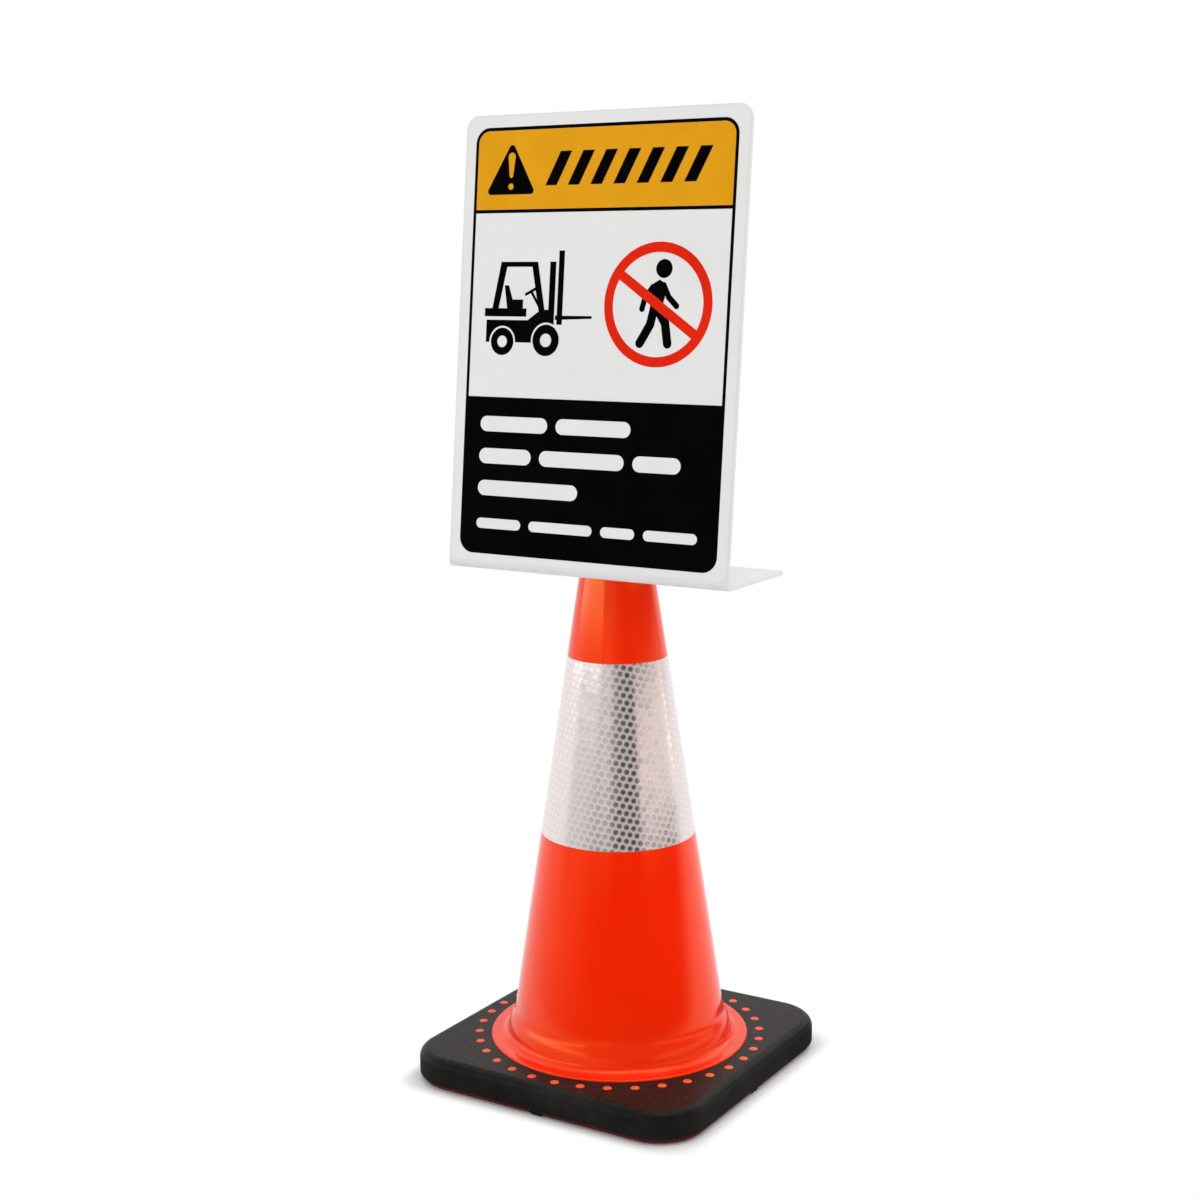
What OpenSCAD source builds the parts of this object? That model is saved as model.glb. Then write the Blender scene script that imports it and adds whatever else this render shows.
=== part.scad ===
// Cone sign: a bent sheet sign that drops over the tip of a traffic cone.
// Millimetres, +Z up. The origin is on the floor under the cone's axis, and the sign faces -Y.

/* [Base slab] */
// Side of the square base
base_side = 260; // [252:1:280]
// Thickness of the base
base_t = 22.5; // [18:0.5:26]
// Radius of the base's upright corners
base_corner_r = 40; // [30:1:55]
// Radius of the base's upper edge
base_top_edge_r = 8; // [4:0.5:10]
// Radius of the base's lower edge
base_low_edge_r = 3; // [1:0.5:4]

/* [Foot pads] */
// Height of the pads that the base stands on
pad_h = 4; // [3:0.25:6]
// Length of a pad along the base's side
pad_l = 11; // [8:0.5:16]

/* [Cone] */
// Height of the cone's tip above the floor
tip_z = 457; // [440:1:490]
// Outside radius of the cone at its tip
tip_r = 23.25; // [20.5:0.25:24.5]
// Height of the foot of the cone's straight wall above the floor
wall_foot_z = 48; // [44:0.5:56]
// Distance from the foot of the straight wall to the base's side
wall_foot_edge = 43.5; // [42:0.5:50]
// Thickness of the cone's wall
cone_wall = 3; // [2:0.25:3.75]
// Radius of the round opening in the tip
tip_bore_r = 18; // [12:0.5:19]
// Length of the straight wall of that opening
tip_bore_l = 10; // [6:0.5:20]
// Rounding of the tip's outer rim
tip_rim_r = 1.5; // [0.5:0.25:1.75]

/* [Cone foot] */
// How far the band below the straight wall stands out of it
band_step = 3.5; // [1.5:0.25:4]
// Drop of the sloping ledge on top of the band
band_drop = 9; // [4:0.5:12]
// Radius of the hollow curve between the band and the flange
flange_fillet_r = 6; // [1:0.5:8]
// Width of the flange that lies on the base
flange_w = 13; // [10:0.5:17]
// Thickness of the flange
flange_t = 1.5; // [1:0.25:2.5]

/* [Lock ring and plugs] */
// Number of plugs that rise through the base
plug_count = 34; // [24:1:40]
// Radius of a plug
plug_r = 3.75; // [2:0.25:4]
// Distance from the circle of plugs to the base's side
plug_edge = 13.5; // [12:0.25:16]
// How deep the lock ring is sunk into the base's underside
ring_sink = 4; // [2:0.25:6]
// Thickness of the lock ring's square plate, which lies under the base
ring_drop = 2.5; // [1:0.25:2.75]
// Width of the lock ring outside its plugs
ring_rim = 1.75; // [1:0.25:2]

/* [Reflective collar] */
// Height of the collar's lower edge above the floor
collar_z = 200; // [150:0.5:230]
// Height of the collar along its slope
collar_slant = 148; // [100:0.5:170]
// Thickness of the collar
collar_t = 0.5; // [0.3:0.1:1]
// Depth of the recess in the cone's wall that takes the collar
collar_recess = 0.6; // [0.2:0.1:1]

/* [Sign plate] */
// Width of the sign
sign_w = 255; // [220:1:300]
// Height of the sign's face along its slope, from the shelf's underside
sign_h = 359; // [320:1:420]
// Thickness of the sheet
sheet_t = 3; // [1.5:0.25:4]
// Inside radius of the bend
bend_r = 2; // [1:0.25:6]
// Lean of the face behind upright, in degrees
face_lean = 6; // [0:0.5:10]
// Depth of the shelf, from the front of the bend
shelf_d = 95; // [88:1:120]
// Radius of the face's upper corners
face_corner_r = 11; // [4:0.5:16]
// Radius of the shelf's back corners
shelf_corner_r = 3; // [1:0.5:10]
// Radius of the hole in the shelf that seats on the cone
cone_hole_r = 30; // [26:0.1:32]
// Distance from the front of the bend to the middle of that hole
cone_hole_setback = 52; // [45:0.5:58]

/* [Label] */
// Margin between the border and the sign's top and side edges
border_margin = 10; // [6:0.5:16]
// Height of the border's lower edge above the sign's foot
border_foot = 13; // [11:0.5:20]
// Width of the border line
border_w = 2.6; // [1:0.1:4]
// Outer radius of the border's corners
border_corner_r = 12.5; // [6:0.5:18]
// Height of the header field, with its rule and border
header_h = 66.6; // [50:0.2:80]
// Height of the message field, with its border
message_h = 125; // [90:1:150]
// Margin between the label film and the sign's edges
film_inset = 1.5; // [0.5:0.25:3]
// Thickness of the label film
film_t = 0.2; // [0.1:0.05:0.5]
// Thickness of one printed layer
ink_t = 0.1; // [0.05:0.05:0.3]
// Number of slanted stripes in the header
stripe_count = 7; // [4:1:10]

/* [Hidden] */
$fn = 96;
arc_steps = 12;

// Clearances, and one overrun for every cut
overrun = 1;
skirt_clear = 0.2;
ring_clear = 0.2;
plug_clear = 0.1;
plug_proud = 0.2;
pad_wall = 0.8;
collar_clear = 0.1;
seat_clear = 0.3;
ink_gap = 0.05;

// Heights of the base and of the lock ring in it
base_half = base_side / 2;
base_top_z = pad_h + base_t;
ring_top_z = pad_h + ring_sink;
ring_low_z = pad_h - ring_drop;

// The cone's outside and inside, and the band that runs on down through the base
wall_foot_r = base_half - wall_foot_edge;
wall_taper = (wall_foot_r - tip_r) / (tip_z - wall_foot_z);
function wall_r(z) = wall_foot_r - (z - wall_foot_z) * wall_taper;
function inner_r(z) = wall_r(z) - cone_wall;
function band_r(z) = wall_r(z) + band_step;
band_top_z = wall_foot_z - band_drop;
flange_top_z = base_top_z + flange_t;
flange_r = band_r(base_top_z) + flange_w;
tip_shoulder = 4;
flange_edge_share = 0.5;

// Circle of plugs, the ring under them and the pads outside that ring
plug_circle_r = base_half - plug_edge;
ring_r = plug_circle_r + plug_r + ring_rim;
pad_inner = ring_r + ring_clear + pad_wall;
pad_outer = base_half - base_low_edge_r;

// The ring's plate reaches as far as the pads, to where the base's lower edge starts to round
plate_half = pad_outer;
plate_corner_r = base_corner_r - base_low_edge_r;

// Collar, and the recess that it lies in
collar_top_z = collar_z + collar_slant * cos(atan(wall_taper));
recess_low_z = collar_z - collar_clear;
recess_top_z = collar_top_z + collar_clear;
function recess_r(z) = wall_r(z) - collar_recess;

// The shelf rests at the height where the cone fills its hole
seat_z = wall_foot_z + (wall_foot_r - cone_hole_r + seat_clear) / wall_taper;
bend_outer_r = bend_r + sheet_t;
bend_y = bend_outer_r - cone_hole_setback;
bend_z = seat_z + bend_outer_r;
shelf_back_y = shelf_d - cone_hole_setback;
face_start = bend_outer_r * (1 + sin(face_lean));

// Fields of the label, measured from the sign's foot
label_w = sign_w - 2 * border_margin;
label_top = sign_h - border_margin;
message_top = border_foot + message_h;
rule_foot = label_top - header_h;
picture_h = rule_foot - message_top;

// Triangle and stripes in the header
triangle_h = header_h * 0.574;
triangle_w = header_h * 0.645;
triangle_round = header_h * 0.042;
triangle_x_share = -0.352;
triangle_foot_share = 0.215;
mark_top_share = 0.76;
mark_foot_share = 0.38;
mark_dot_share = 0.16;
mark_top_r = triangle_h * 0.09;
mark_foot_r = triangle_h * 0.045;
mark_dot_r = triangle_h * 0.066;
stripes_from = label_w * -0.236;
stripes_to = label_w * 0.432;
stripes_foot_share = 0.31;
stripes_h = header_h * 0.39;
stripe_fill_share = 0.5;
stripe_slant = stripes_h * 0.5;

// Picture field: both figures take one unit, which fits the field's width and height
picture_unit = min(label_w * 0.6145, picture_h * 1.36);
prohibition_r = picture_unit * 0.3255;
prohibition_w = picture_unit * 0.053;
prohibition_x = label_w * 0.236;
prohibition_y = message_top + picture_h * 0.512;
slash_turn = -34;
forklift_w = picture_unit * 0.6925;
forklift_h = picture_unit * 0.565;
forklift_x = label_w * -0.436;
forklift_y = message_top + picture_h * 0.513 - forklift_h / 2;

// Forklift outlines, as shares of its width and height
roof_shares = [[0.14, 0.895], [0.485, 0.895], [0.485, 0.848], [0.14, 0.848]];
rear_pillar_shares = [[0.14, 0.895], [0.2, 0.87], [0.125, 0.42], [0.066, 0.42]];
front_pillar_shares = [[0.43, 0.87], [0.485, 0.895], [0.567, 0.42], [0.51, 0.42]];
seat_shares = [[0.18, 0.67], [0.22, 0.67], [0.26, 0.535], [0.36, 0.535], [0.36, 0.42], [0.215, 0.42]];
deck_shares = [[0, 0.45], [0.395, 0.45], [0.395, 0.372], [0, 0.372]];
chassis_shares = [[0.02, 0.338], [0.41, 0.338], [0.5, 0.415], [0.56, 0.44], [0.615, 0.44],
    [0.655, 0.3], [0.655, 0.125], [0.02, 0.125]];
inner_mast_shares = [[0.6, 0.895], [0.655, 0.895], [0.655, 0.3], [0.6, 0.3]];
outer_mast_shares = [[0.68, 1], [0.73, 1], [0.73, 0.3], [0.68, 0.3]];
fork_shares = [[0.665, 0.385], [1, 0.385], [1, 0.36], [0.665, 0.345]];
steering_shares = [[0.385, 0.585], [0.475, 0.64]];
column_shares = [[0.435, 0.61], [0.53, 0.44]];
steering_w = forklift_w * 0.022;
rear_wheel_share = 0.177;
rear_wheel_r = forklift_w * 0.107;
front_wheel_share = 0.587;
front_wheel_r = forklift_w * 0.122;
hub_share = 0.43;
arch_gap = forklift_w * 0.016;

// Walking figure, as shares of the prohibition ring's radius
head_shares = [0.094, 0.574];
head_r = prohibition_r * 0.15;
torso_shares = [[-0.1, 0.33], [0.02, 0.4], [0.12, 0.34], [0.13, 0.12], [0.08, -0.06], [-0.14, -0.06]];
leading_arm_shares = [[0.1, 0.31], [0.2, 0.12], [0.35, -0.02]];
trailing_arm_shares = [[-0.1, 0.28], [-0.24, 0.1], [-0.285, -0.07]];
leading_leg_shares = [[0, -0.06], [0.155, -0.29], [0.215, -0.62]];
trailing_leg_shares = [[-0.06, -0.06], [-0.12, -0.32], [-0.3, -0.62]];
arm_w = prohibition_r * 0.1;
leg_w = prohibition_r * 0.155;

// Bars in the message field, one row of bar lengths for each line, as shares of the label's width
bar_length_shares = [[0.27, 0.29], [0.21, 0.33, 0.18], [0.4], [0.18, 0.25, 0.13, 0.2]];
line_height_shares = [0.83, 0.626, 0.422, 0.195];
bar_h_shares = [0.098, 0.098, 0.098, 0.066];
bar_space = label_w * 0.033;
bars_from = label_w * -0.434;

function arc_points(x, y, r, from, to) =
    [for (i = [0:arc_steps]) let (a = from + (to - from) * i / arc_steps) [x + r * cos(a), y + r * sin(a)]];
function scaled_points(shares, w, h) = [for (p = shares) [p[0] * w, p[1] * h]];
function sum_to(list, count) = count == 0 ? 0 : list[count - 1] + sum_to(list, count - 1);

// Flat shapes

// Rounded rectangle, centred across and standing on the line at foot
module rounded_panel(w, foot, top, r) {
    translate([-w / 2, foot + r]) square([w, top - foot - 2 * r]);
    translate([r - w / 2, foot]) square([w - 2 * r, top - foot]);
    for (x = [r - w / 2, w / 2 - r])
        for (y = [foot + r, top - r])
            translate([x, y]) circle(r);
}

// What a round corner leaves off both upper corners of a sheet that is w wide
module corner_waste(w, top, r) {
    for (side = [0, 1])
        mirror([side, 0])
            polygon(concat(arc_points(w / 2 - r, top - r, r, 0, 90),
                [[w / 2 - r, top + overrun], [w / 2 + overrun, top + overrun], [w / 2 + overrun, top - r]]));
}

// Straight stroke with round ends
module stroke(from, to, w) {
    run = to - from;
    turn = atan2(run[1], run[0]);
    polygon(concat(arc_points(from[0], from[1], w / 2, turn + 90, turn + 270),
        arc_points(to[0], to[1], w / 2, turn - 90, turn + 90)));
}

// Limb bent once, with round ends and a mitred joint
module limb(points, w) {
    turns = [for (i = [0, 1]) let (run = points[i + 1] - points[i]) atan2(run[1], run[0])];
    joint_turn = (turns[0] + turns[1]) / 2 + 90;
    joint = [cos(joint_turn), sin(joint_turn)] * w / 2 / cos((turns[1] - turns[0]) / 2);
    polygon(concat(arc_points(points[0][0], points[0][1], w / 2, turns[0] + 90, turns[0] + 270),
        [points[1] - joint],
        arc_points(points[2][0], points[2][1], w / 2, turns[1] - 90, turns[1] + 90),
        [points[1] + joint]));
}

// Edge of the base in section, with its own arcs above and below
module edge_profile() {
    square([base_corner_r - base_top_edge_r, base_t]);
    square([base_corner_r - base_low_edge_r, base_t - base_top_edge_r]);
    translate([0, base_low_edge_r])
        square([base_corner_r, base_t - base_top_edge_r - base_low_edge_r]);
    translate([base_corner_r - base_top_edge_r, base_t - base_top_edge_r])
        circle(base_top_edge_r);
    translate([base_corner_r - base_low_edge_r, base_low_edge_r])
        circle(base_low_edge_r);
}

// Border ring and everything inside it
module border_outline(inset) {
    rounded_panel(label_w - 2 * inset, border_foot + inset, label_top - inset, border_corner_r - inset);
}

// Part of the area inside the border that lies between two heights
module border_field(foot, top) {
    intersection() {
        border_outline(border_w + ink_gap);
        translate([-label_w / 2, foot]) square([label_w, top - foot]);
    }
}

// Placing on the face

// Children's X runs along the sign, Y up the face from its foot and Z out of the face
module on_face(lift) {
    translate([0, bend_y, bend_z])
        rotate([90 - face_lean, 0, 0])
            translate([0, -face_start, bend_outer_r + lift])
                children();
}

// One printed layer: the first lies on the film, the second on the first
module print_layer(order) {
    on_face(film_t + (order - 1) * ink_t) linear_extrude(ink_t) children();
}

// The cone and its base

module slab() {
    reach = base_half - base_corner_r;
    translate([0, 0, pad_h]) {
        linear_extrude(base_t) square(2 * reach, center = true);
        for (quarter = [0:3])
            rotate([0, 0, 90 * quarter]) {
                translate([reach, reach, 0])
                    rotate_extrude(angle = 90)
                        edge_profile();
                translate([reach, reach, 0])
                    rotate([90, 0, 0])
                        linear_extrude(2 * reach)
                            edge_profile();
            }
    }
}

module around_plugs() {
    for (i = [0:plug_count - 1])
        rotate([0, 0, 360 * i / plug_count])
            translate([plug_circle_r, 0, 0])
                children();
}

// Weighted black base with the cone's seat, the lock ring's recess and a hole for each plug
module base_slab() {
    cut_low_z = pad_h - overrun;
    cut_top_z = base_top_z + overrun;
    color([0.13, 0.13, 0.13])
        difference() {
            slab();
            translate([0, 0, cut_low_z])
                cylinder(h = cut_top_z - cut_low_z, r1 = band_r(cut_low_z) + skirt_clear,
                    r2 = band_r(cut_top_z) + skirt_clear);
            translate([0, 0, cut_low_z])
                cylinder(h = ring_top_z - cut_low_z, r = ring_r + ring_clear);
            translate([0, 0, cut_low_z])
                around_plugs()
                    cylinder(h = cut_top_z - cut_low_z, r = plug_r + plug_clear);
        }
}

// One pad under the middle of each side
module foot_pads() {
    color([0.06, 0.06, 0.06])
        for (quarter = [0:3])
            rotate([0, 0, 90 * quarter])
                translate([pad_inner, -pad_l / 2, 0])
                    cube([pad_outer - pad_inner, pad_l, pad_h]);
}

// Hollow cone with an open tip, a recess for the collar, a band and flange at its foot, and a skirt
// down through the base
module cone_shell() {
    flange_edge = flange_t * flange_edge_share;
    fillet_z = flange_top_z + flange_fillet_r;
    rim_z = tip_z - tip_rim_r;
    bore_low_z = tip_z - tip_bore_l;
    shoulder_z = bore_low_z - tip_shoulder;
    color([0.93, 0.17, 0.03])
        rotate_extrude()
            polygon(concat(
                [[inner_r(ring_top_z), ring_top_z], [band_r(ring_top_z), ring_top_z]],
                [[band_r(base_top_z), base_top_z], [flange_r, base_top_z]],
                [[flange_r, flange_top_z - flange_edge], [flange_r - flange_edge, flange_top_z]],
                arc_points(band_r(fillet_z) + flange_fillet_r, fillet_z, flange_fillet_r, 270, 180),
                [[band_r(band_top_z), band_top_z], [wall_foot_r, wall_foot_z]],
                [[wall_r(recess_low_z), recess_low_z], [recess_r(recess_low_z), recess_low_z]],
                [[recess_r(recess_top_z), recess_top_z], [wall_r(recess_top_z), recess_top_z]],
                arc_points(wall_r(rim_z) - tip_rim_r, rim_z, tip_rim_r, 0, 90),
                [[tip_bore_r, tip_z], [tip_bore_r, bore_low_z], [inner_r(shoulder_z), shoulder_z]]));
}

// Outline of the square plate under the base
module plate_outline() {
    reach = plate_half - plate_corner_r;
    polygon(concat(arc_points(reach, reach, plate_corner_r, 0, 90),
        arc_points(-reach, reach, plate_corner_r, 90, 180),
        arc_points(-reach, -reach, plate_corner_r, 180, 270),
        arc_points(reach, -reach, plate_corner_r, 270, 360)));
}

// Ring sunk in the base that ties the plugs to the cone's skirt, on a square plate cut out for the pads
module lock_ring() {
    cut_low_z = ring_low_z - overrun;
    color([0.45, 0.05, 0.04])
        difference() {
            union() {
                translate([0, 0, ring_low_z])
                    linear_extrude(ring_drop)
                        plate_outline();
                translate([0, 0, ring_low_z])
                    cylinder(h = ring_top_z - ring_low_z, r = ring_r);
            }
            translate([0, 0, cut_low_z])
                cylinder(h = ring_top_z + overrun - cut_low_z, r = inner_r(ring_top_z));
            for (quarter = [0:3])
                rotate([0, 0, 90 * quarter])
                    translate([pad_inner - ring_clear, -pad_l / 2 - ring_clear, cut_low_z])
                        cube([base_half - pad_inner, pad_l + 2 * ring_clear, pad_h + overrun - cut_low_z]);
        }
}

// Plugs that rise from the ring and show as dots on the base
module lock_plugs() {
    color([0.98, 0.35, 0.15])
        translate([0, 0, ring_top_z])
            around_plugs()
                cylinder(h = base_top_z + plug_proud - ring_top_z, r = plug_r);
}

// Sleeve of reflective sheeting in the cone's recess
module reflective_collar() {
    low_r = recess_r(collar_z) + collar_clear;
    top_r = recess_r(collar_top_z) + collar_clear;
    color([0.85, 0.83, 0.83])
        rotate_extrude()
            polygon([[low_r, collar_z], [low_r + collar_t, collar_z],
                [top_r + collar_t, collar_top_z], [top_r, collar_top_z]]);
}

// The sign

// The bent sheet in section: X runs back from the cone's axis and Y up
module sheet_section() {
    face_run = sign_h - face_start;
    up_face = [sin(face_lean), cos(face_lean)] * face_run;
    out_of_face = [-cos(face_lean), sin(face_lean)];
    bend_middle = [bend_y, bend_z];
    polygon(concat([[shelf_back_y, seat_z]],
        arc_points(bend_y, bend_z, bend_outer_r, 270, 180 - face_lean),
        [bend_middle + out_of_face * bend_outer_r + up_face, bend_middle + out_of_face * bend_r + up_face],
        arc_points(bend_y, bend_z, bend_r, 180 - face_lean, 270),
        [[shelf_back_y, seat_z + sheet_t]]));
}

// Sheet bent once: a leaning face, and a level shelf with the hole that seats on the cone
module sign_plate() {
    cut_t = sheet_t + 2 * overrun;
    color([0.92, 0.92, 0.91])
        difference() {
            translate([-sign_w / 2, 0, 0])
                rotate([90, 0, 90])
                    linear_extrude(sign_w)
                        sheet_section();
            on_face(-sheet_t - overrun)
                linear_extrude(cut_t)
                    corner_waste(sign_w, sign_h, face_corner_r);
            translate([0, 0, seat_z - overrun]) {
                linear_extrude(cut_t)
                    corner_waste(sign_w, shelf_back_y, shelf_corner_r);
                cylinder(h = cut_t, r = cone_hole_r);
            }
        }
}

// White film that carries the print
module label_film() {
    color([0.96, 0.96, 0.96])
        on_face(0)
            linear_extrude(film_t)
                rounded_panel(sign_w - 2 * film_inset, face_start + film_inset, sign_h - film_inset,
                    face_corner_r - film_inset);
}

// Amber field at the top
module header_field() {
    color([0.86, 0.6, 0.11])
        print_layer(1)
            border_field(rule_foot + border_w + ink_gap, label_top);
}

// Black field at the bottom
module message_field() {
    color([0.04, 0.04, 0.04])
        print_layer(1)
            border_field(border_foot, message_top);
}

// Line round the label, and the rule under the header
module border_line() {
    color([0.04, 0.04, 0.04])
        print_layer(1) {
            difference() {
                border_outline(0);
                border_outline(border_w);
            }
            translate([-label_w / 2 + border_w / 2, rule_foot])
                square([label_w - border_w, border_w]);
        }
}

// Solid triangle with round corners and an open exclamation mark
module warning_triangle() {
    half_w = triangle_w / 2 - triangle_round;
    side_turn = atan2(triangle_h - 2 * triangle_round, half_w);
    mark_top = triangle_h * mark_top_share;
    mark_foot = triangle_h * mark_foot_share;
    color([0.04, 0.04, 0.04])
        print_layer(2)
            translate([label_w * triangle_x_share, rule_foot + header_h * triangle_foot_share])
                difference() {
                    polygon(concat(
                        arc_points(half_w, triangle_round, triangle_round, -90, 90 - side_turn),
                        arc_points(0, triangle_h - triangle_round, triangle_round,
                            90 - side_turn, 90 + side_turn),
                        arc_points(-half_w, triangle_round, triangle_round, 90 + side_turn, 270)));
                    polygon([[-mark_top_r, mark_top], [-mark_foot_r, mark_foot],
                        [mark_foot_r, mark_foot], [mark_top_r, mark_top]]);
                    translate([0, mark_top]) circle(mark_top_r);
                    translate([0, mark_foot]) circle(mark_foot_r);
                    translate([0, triangle_h * mark_dot_share]) circle(mark_dot_r);
                }
}

// Slanted stripes beside the triangle
module header_stripes() {
    pitch = (stripes_to - stripes_from - stripe_slant) / stripe_count;
    fill = pitch * stripe_fill_share;
    color([0.04, 0.04, 0.04])
        print_layer(2)
            translate([stripes_from, rule_foot + header_h * stripes_foot_share])
                for (i = [0:stripe_count - 1])
                    translate([pitch * (i + (1 - stripe_fill_share) / 2), 0])
                        polygon([[0, 0], [fill, 0],
                            [fill + stripe_slant, stripes_h], [stripe_slant, stripes_h]]);
}

// Wheel standing on the foot of the forklift figure
module wheel(share, r) {
    translate([forklift_w * share, r])
        difference() {
            circle(r);
            circle(r * hub_share);
        }
}

// Lift truck seen from its side
module forklift_symbol() {
    steering = scaled_points(steering_shares, forklift_w, forklift_h);
    column = scaled_points(column_shares, forklift_w, forklift_h);
    color([0.04, 0.04, 0.04])
        print_layer(1)
            translate([forklift_x, forklift_y]) {
                for (shares = [roof_shares, rear_pillar_shares, front_pillar_shares, seat_shares, deck_shares,
                    outer_mast_shares, fork_shares])
                    polygon(scaled_points(shares, forklift_w, forklift_h));
                difference() {
                    for (shares = [chassis_shares, inner_mast_shares])
                        polygon(scaled_points(shares, forklift_w, forklift_h));
                    translate([forklift_w * rear_wheel_share, rear_wheel_r])
                        circle(rear_wheel_r + arch_gap);
                    translate([forklift_w * front_wheel_share, front_wheel_r])
                        circle(front_wheel_r + arch_gap);
                }
                stroke(steering[0], steering[1], steering_w);
                stroke(column[0], column[1], steering_w);
                wheel(rear_wheel_share, rear_wheel_r);
                wheel(front_wheel_share, front_wheel_r);
            }
}

// Bar across the ring, with its width widened by a gap on each side
module slash(gap) {
    reach = prohibition_r - prohibition_w / 2;
    rotate(slash_turn)
        translate([-reach, -prohibition_w / 2 - gap])
            square([2 * reach, prohibition_w + 2 * gap]);
}

// Walking figure behind the bar
module pedestrian_symbol() {
    color([0.04, 0.04, 0.04])
        print_layer(1)
            translate([prohibition_x, prohibition_y])
                difference() {
                    union() {
                        translate(head_shares * prohibition_r) circle(head_r);
                        polygon(torso_shares * prohibition_r);
                        limb(leading_arm_shares * prohibition_r, arm_w);
                        limb(trailing_arm_shares * prohibition_r, arm_w);
                        limb(leading_leg_shares * prohibition_r, leg_w);
                        limb(trailing_leg_shares * prohibition_r, leg_w);
                    }
                    slash(ink_gap);
                }
}

// Red ring with its bar
module prohibition_ring() {
    color([0.88, 0.13, 0.06])
        print_layer(1)
            translate([prohibition_x, prohibition_y]) {
                difference() {
                    circle(prohibition_r);
                    circle(prohibition_r - prohibition_w);
                }
                slash(0);
            }
}

// Plain round-ended bars in the place of the message
module message_bars() {
    color([0.96, 0.96, 0.96])
        print_layer(2)
            for (line = [0:len(bar_length_shares) - 1]) {
                bar_h = message_h * bar_h_shares[line];
                line_y = border_foot + message_h * line_height_shares[line];
                for (i = [0:len(bar_length_shares[line]) - 1]) {
                    bar_l = label_w * bar_length_shares[line][i];
                    bar_x = bars_from + label_w * sum_to(bar_length_shares[line], i) + bar_space * i;
                    stroke([bar_x + bar_h / 2, line_y], [bar_x + bar_l - bar_h / 2, line_y], bar_h);
                }
            }
}

base_slab();
foot_pads();
cone_shell();
lock_ring();
lock_plugs();
reflective_collar();
sign_plate();
label_film();
header_field();
message_field();
border_line();
warning_triangle();
header_stripes();
forklift_symbol();
pedestrian_symbol();
prohibition_ring();
message_bars();
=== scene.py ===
import math

import bmesh
import bpy
from mathutils import Matrix, Vector


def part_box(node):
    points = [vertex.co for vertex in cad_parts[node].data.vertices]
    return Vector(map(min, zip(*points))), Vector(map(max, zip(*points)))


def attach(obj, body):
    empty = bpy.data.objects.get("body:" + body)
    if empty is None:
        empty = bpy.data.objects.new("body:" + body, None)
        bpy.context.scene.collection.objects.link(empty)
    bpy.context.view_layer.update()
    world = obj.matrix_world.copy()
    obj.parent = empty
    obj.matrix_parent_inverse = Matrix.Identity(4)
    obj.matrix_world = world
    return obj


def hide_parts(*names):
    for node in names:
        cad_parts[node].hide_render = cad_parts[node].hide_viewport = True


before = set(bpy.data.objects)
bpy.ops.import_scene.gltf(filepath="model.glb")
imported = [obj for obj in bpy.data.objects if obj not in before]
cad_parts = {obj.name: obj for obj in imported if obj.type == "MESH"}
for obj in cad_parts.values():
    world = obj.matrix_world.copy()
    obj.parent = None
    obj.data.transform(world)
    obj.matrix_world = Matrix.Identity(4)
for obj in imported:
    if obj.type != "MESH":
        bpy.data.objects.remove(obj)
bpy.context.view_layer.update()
bpy.context.scene.view_settings.view_transform = "Standard"

# the photograph's viewpoint; angles in degrees, lengths in metres
photoCamera = {
    "azimuth": 31.2,  # round from the sign's front
    "distance": 1.5444,  # level distance from the cone's axis
    "height": 0.6653,
    "aside": 0.51,  # turn of the aim past the axis
    "pitch": -10.085,
    "roll": -0.392,
    "lens": 58.66,
    "sensor": 36.0,
}


def around(azimuth, distance, height):
    turn = math.radians(azimuth)
    return Vector((distance * math.sin(turn), -distance * math.cos(turn), height))


def addCamera(spec):
    data = bpy.data.cameras.new("photoCamera")
    data.lens = spec["lens"]
    data.sensor_width = spec["sensor"]
    camera = bpy.data.objects.new("photoCamera", data)
    bpy.context.scene.collection.objects.link(camera)
    yaw = Matrix.Rotation(math.radians(spec["azimuth"] + spec["aside"]), 4, "Z")
    tilt = Matrix.Rotation(math.radians(90 + spec["pitch"]), 4, "X")
    roll = Matrix.Rotation(math.radians(spec["roll"]), 4, "Z")
    place = Matrix.Translation(around(spec["azimuth"], spec["distance"], spec["height"]))
    camera.matrix_world = place @ yaw @ tilt @ roll
    bpy.context.scene.camera = camera


addCamera(photoCamera)
print("camera placed")


# small helpers for node trees
def setInputs(tree, node, values):
    for key, value in values.items():
        socket = node.inputs[key]
        if isinstance(value, bpy.types.NodeSocket):
            tree.links.new(value, socket)
        elif socket.type == "RGBA":
            socket.default_value = (*value[:3], 1.0)
        else:
            socket.default_value = value


def addNode(tree, kind, values=None, **settings):
    node = tree.nodes.new("ShaderNode" + kind)
    for name, setting in settings.items():
        setattr(node, name, setting)
    setInputs(tree, node, values or {})
    return node


def calc(tree, operation, *values):
    return addNode(tree, "Math", dict(enumerate(values)), operation=operation).outputs[0]


def vectorCalc(tree, operation, *values):
    return addNode(tree, "VectorMath", dict(enumerate(values)), operation=operation).outputs[0]


def ramp(tree, value, start, end, low=0.0, high=1.0):
    values = {"Value": value, "From Min": start, "From Max": end, "To Min": low, "To Max": high}
    return addNode(tree, "MapRange", values, interpolation_type="SMOOTHSTEP").outputs[0]


def dot(tree, first, second):
    values = {0: first, 1: second}
    return addNode(tree, "VectorMath", values, operation="DOT_PRODUCT").outputs["Value"]


def mixColor(tree, factor, first, second):
    values = {0: factor, 6: first, 7: second}
    return addNode(tree, "Mix", values, data_type="RGBA").outputs[2]


def noise(tree, vector, scale, detail=3.0, rough=0.55):
    values = {"Vector": vector, "Scale": scale, "Detail": detail, "Roughness": rough}
    return addNode(tree, "TexNoise", values).outputs[0]


def bump(tree, height, strength, distance):
    values = {"Height": height, "Strength": strength, "Distance": distance}
    return addNode(tree, "Bump", values).outputs["Normal"]


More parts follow.
